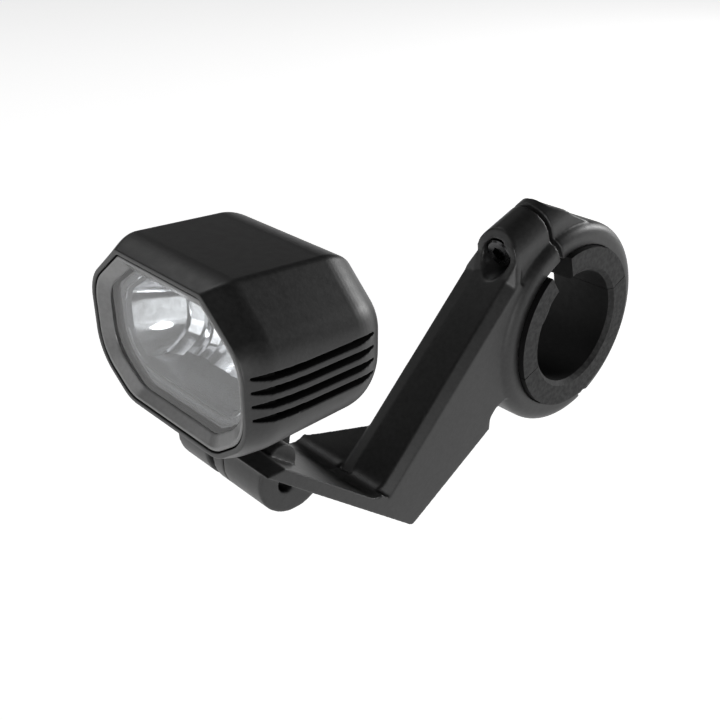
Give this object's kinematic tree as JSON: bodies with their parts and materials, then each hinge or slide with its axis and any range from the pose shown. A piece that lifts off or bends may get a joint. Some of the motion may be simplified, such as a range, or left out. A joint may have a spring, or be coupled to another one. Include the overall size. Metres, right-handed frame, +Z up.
{
  "type": "bicycle headlight",
  "caption": "Bicycle headlight with a wide hexagonal lens, grooved sides and a tilting foot on a sloping one-sided handlebar bracket.",
  "frame": {"origin": "centre of the handlebar bore, in the middle of the clamp's width", "axes": "+X along the handlebar, -Y along the beam, +Z up"},
  "size_m": [0.0406, 0.1007, 0.058],
  "materials": {
    "housing_black": "fine satin moulding, near black",
    "bezel_black": "satin moulding, slightly lighter than the housing",
    "lens_clear": "clear polished",
    "gasket_rubber": "matt",
    "reflector_chrome": "vacuum-metallised, faceted",
    "board_white": "white solder mask",
    "emitter_yellow": "phosphor under a clear dome",
    "steel": "zinc-plated",
    "pad_grey": "soft, matt",
    "carrier_aluminium": "milled",
    "board_green": "green solder mask",
    "inductor_grey": "ferrite",
    "capacitor_metal": "plain can",
    "wire_red": "insulated",
    "foot_black": "satin moulding",
    "washer_grey": "slightly waxy",
    "brass": "knurled",
    "bracket_black": "satin moulding, near black",
    "shim_rubber": "matt, dark grey"
  },
  "bodies": {
    "bracket": {"bracket_arm": "bracket_black", "clamp_cap": "bracket_black", "clamp_screw": "steel", "clamp_insert": "brass", "shim_front": "shim_rubber", "shim_rear": "shim_rubber", "shim_top": "shim_rubber", "tilt_washer": "washer_grey", "pivot_screw": "steel", "pivot_insert": "brass"},
    "lamp": {"housing_shell": "housing_black", "front_bezel": "bezel_black", "front_lens": "lens_clear", "lens_gasket": "gasket_rubber", "reflector": "reflector_chrome", "led_board": "board_white", "led_emitter": "emitter_yellow", "led_board_screws": "steel", "thermal_pad": "pad_grey", "led_carrier": "carrier_aluminium", "carrier_screws": "steel", "driver_board": "board_green", "driver_inductor": "inductor_grey", "driver_capacitor": "capacitor_metal", "board_wires": "wire_red", "cable_grommet": "gasket_rubber", "lamp_foot": "foot_black", "foot_screws": "steel"}
  },
  "joints": [
    {"name": "lamp_tilt", "type": "hinge", "parent": "bracket", "child": "lamp", "pos_m": [-0.0075, -0.0661, -0.004], "axis": [1, 0, 0], "range_deg": [-20, 30]}
  ]
}
